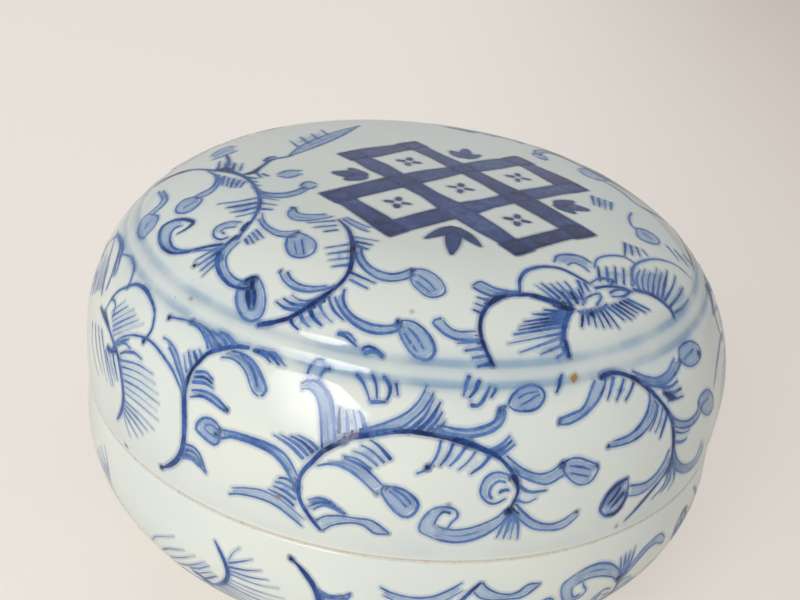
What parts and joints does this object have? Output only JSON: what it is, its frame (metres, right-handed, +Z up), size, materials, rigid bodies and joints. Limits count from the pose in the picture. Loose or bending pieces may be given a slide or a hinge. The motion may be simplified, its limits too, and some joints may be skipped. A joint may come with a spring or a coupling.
{
  "type": "seal paste box",
  "caption": "Round porcelain box with a domed lid that seats over a flange on a footed bowl of red seal paste.",
  "frame": {"origin": "centre of the foot ring's underside", "axes": "+Z up, along the axis of the round box"},
  "size_m": [0.095, 0.095, 0.0575],
  "materials": {
    "blue_and_white_porcelain": "glossy bluish-white glaze over hand-painted cobalt blue",
    "base_porcelain": "glossy bluish-white glaze over cobalt blue, with a bare ledge, flange edge and foot rim",
    "seal_paste": "oily vermilion paste"
  },
  "bodies": {
    "base": {"base": "base_porcelain", "seal_paste": "seal_paste"},
    "lid": {"lid": "blue_and_white_porcelain"}
  },
  "joints": [
    {"name": "lid_lift", "type": "slide", "parent": "base", "child": "lid", "axis": [0, 0, 1], "range_m": [0, 0.07]}
  ]
}
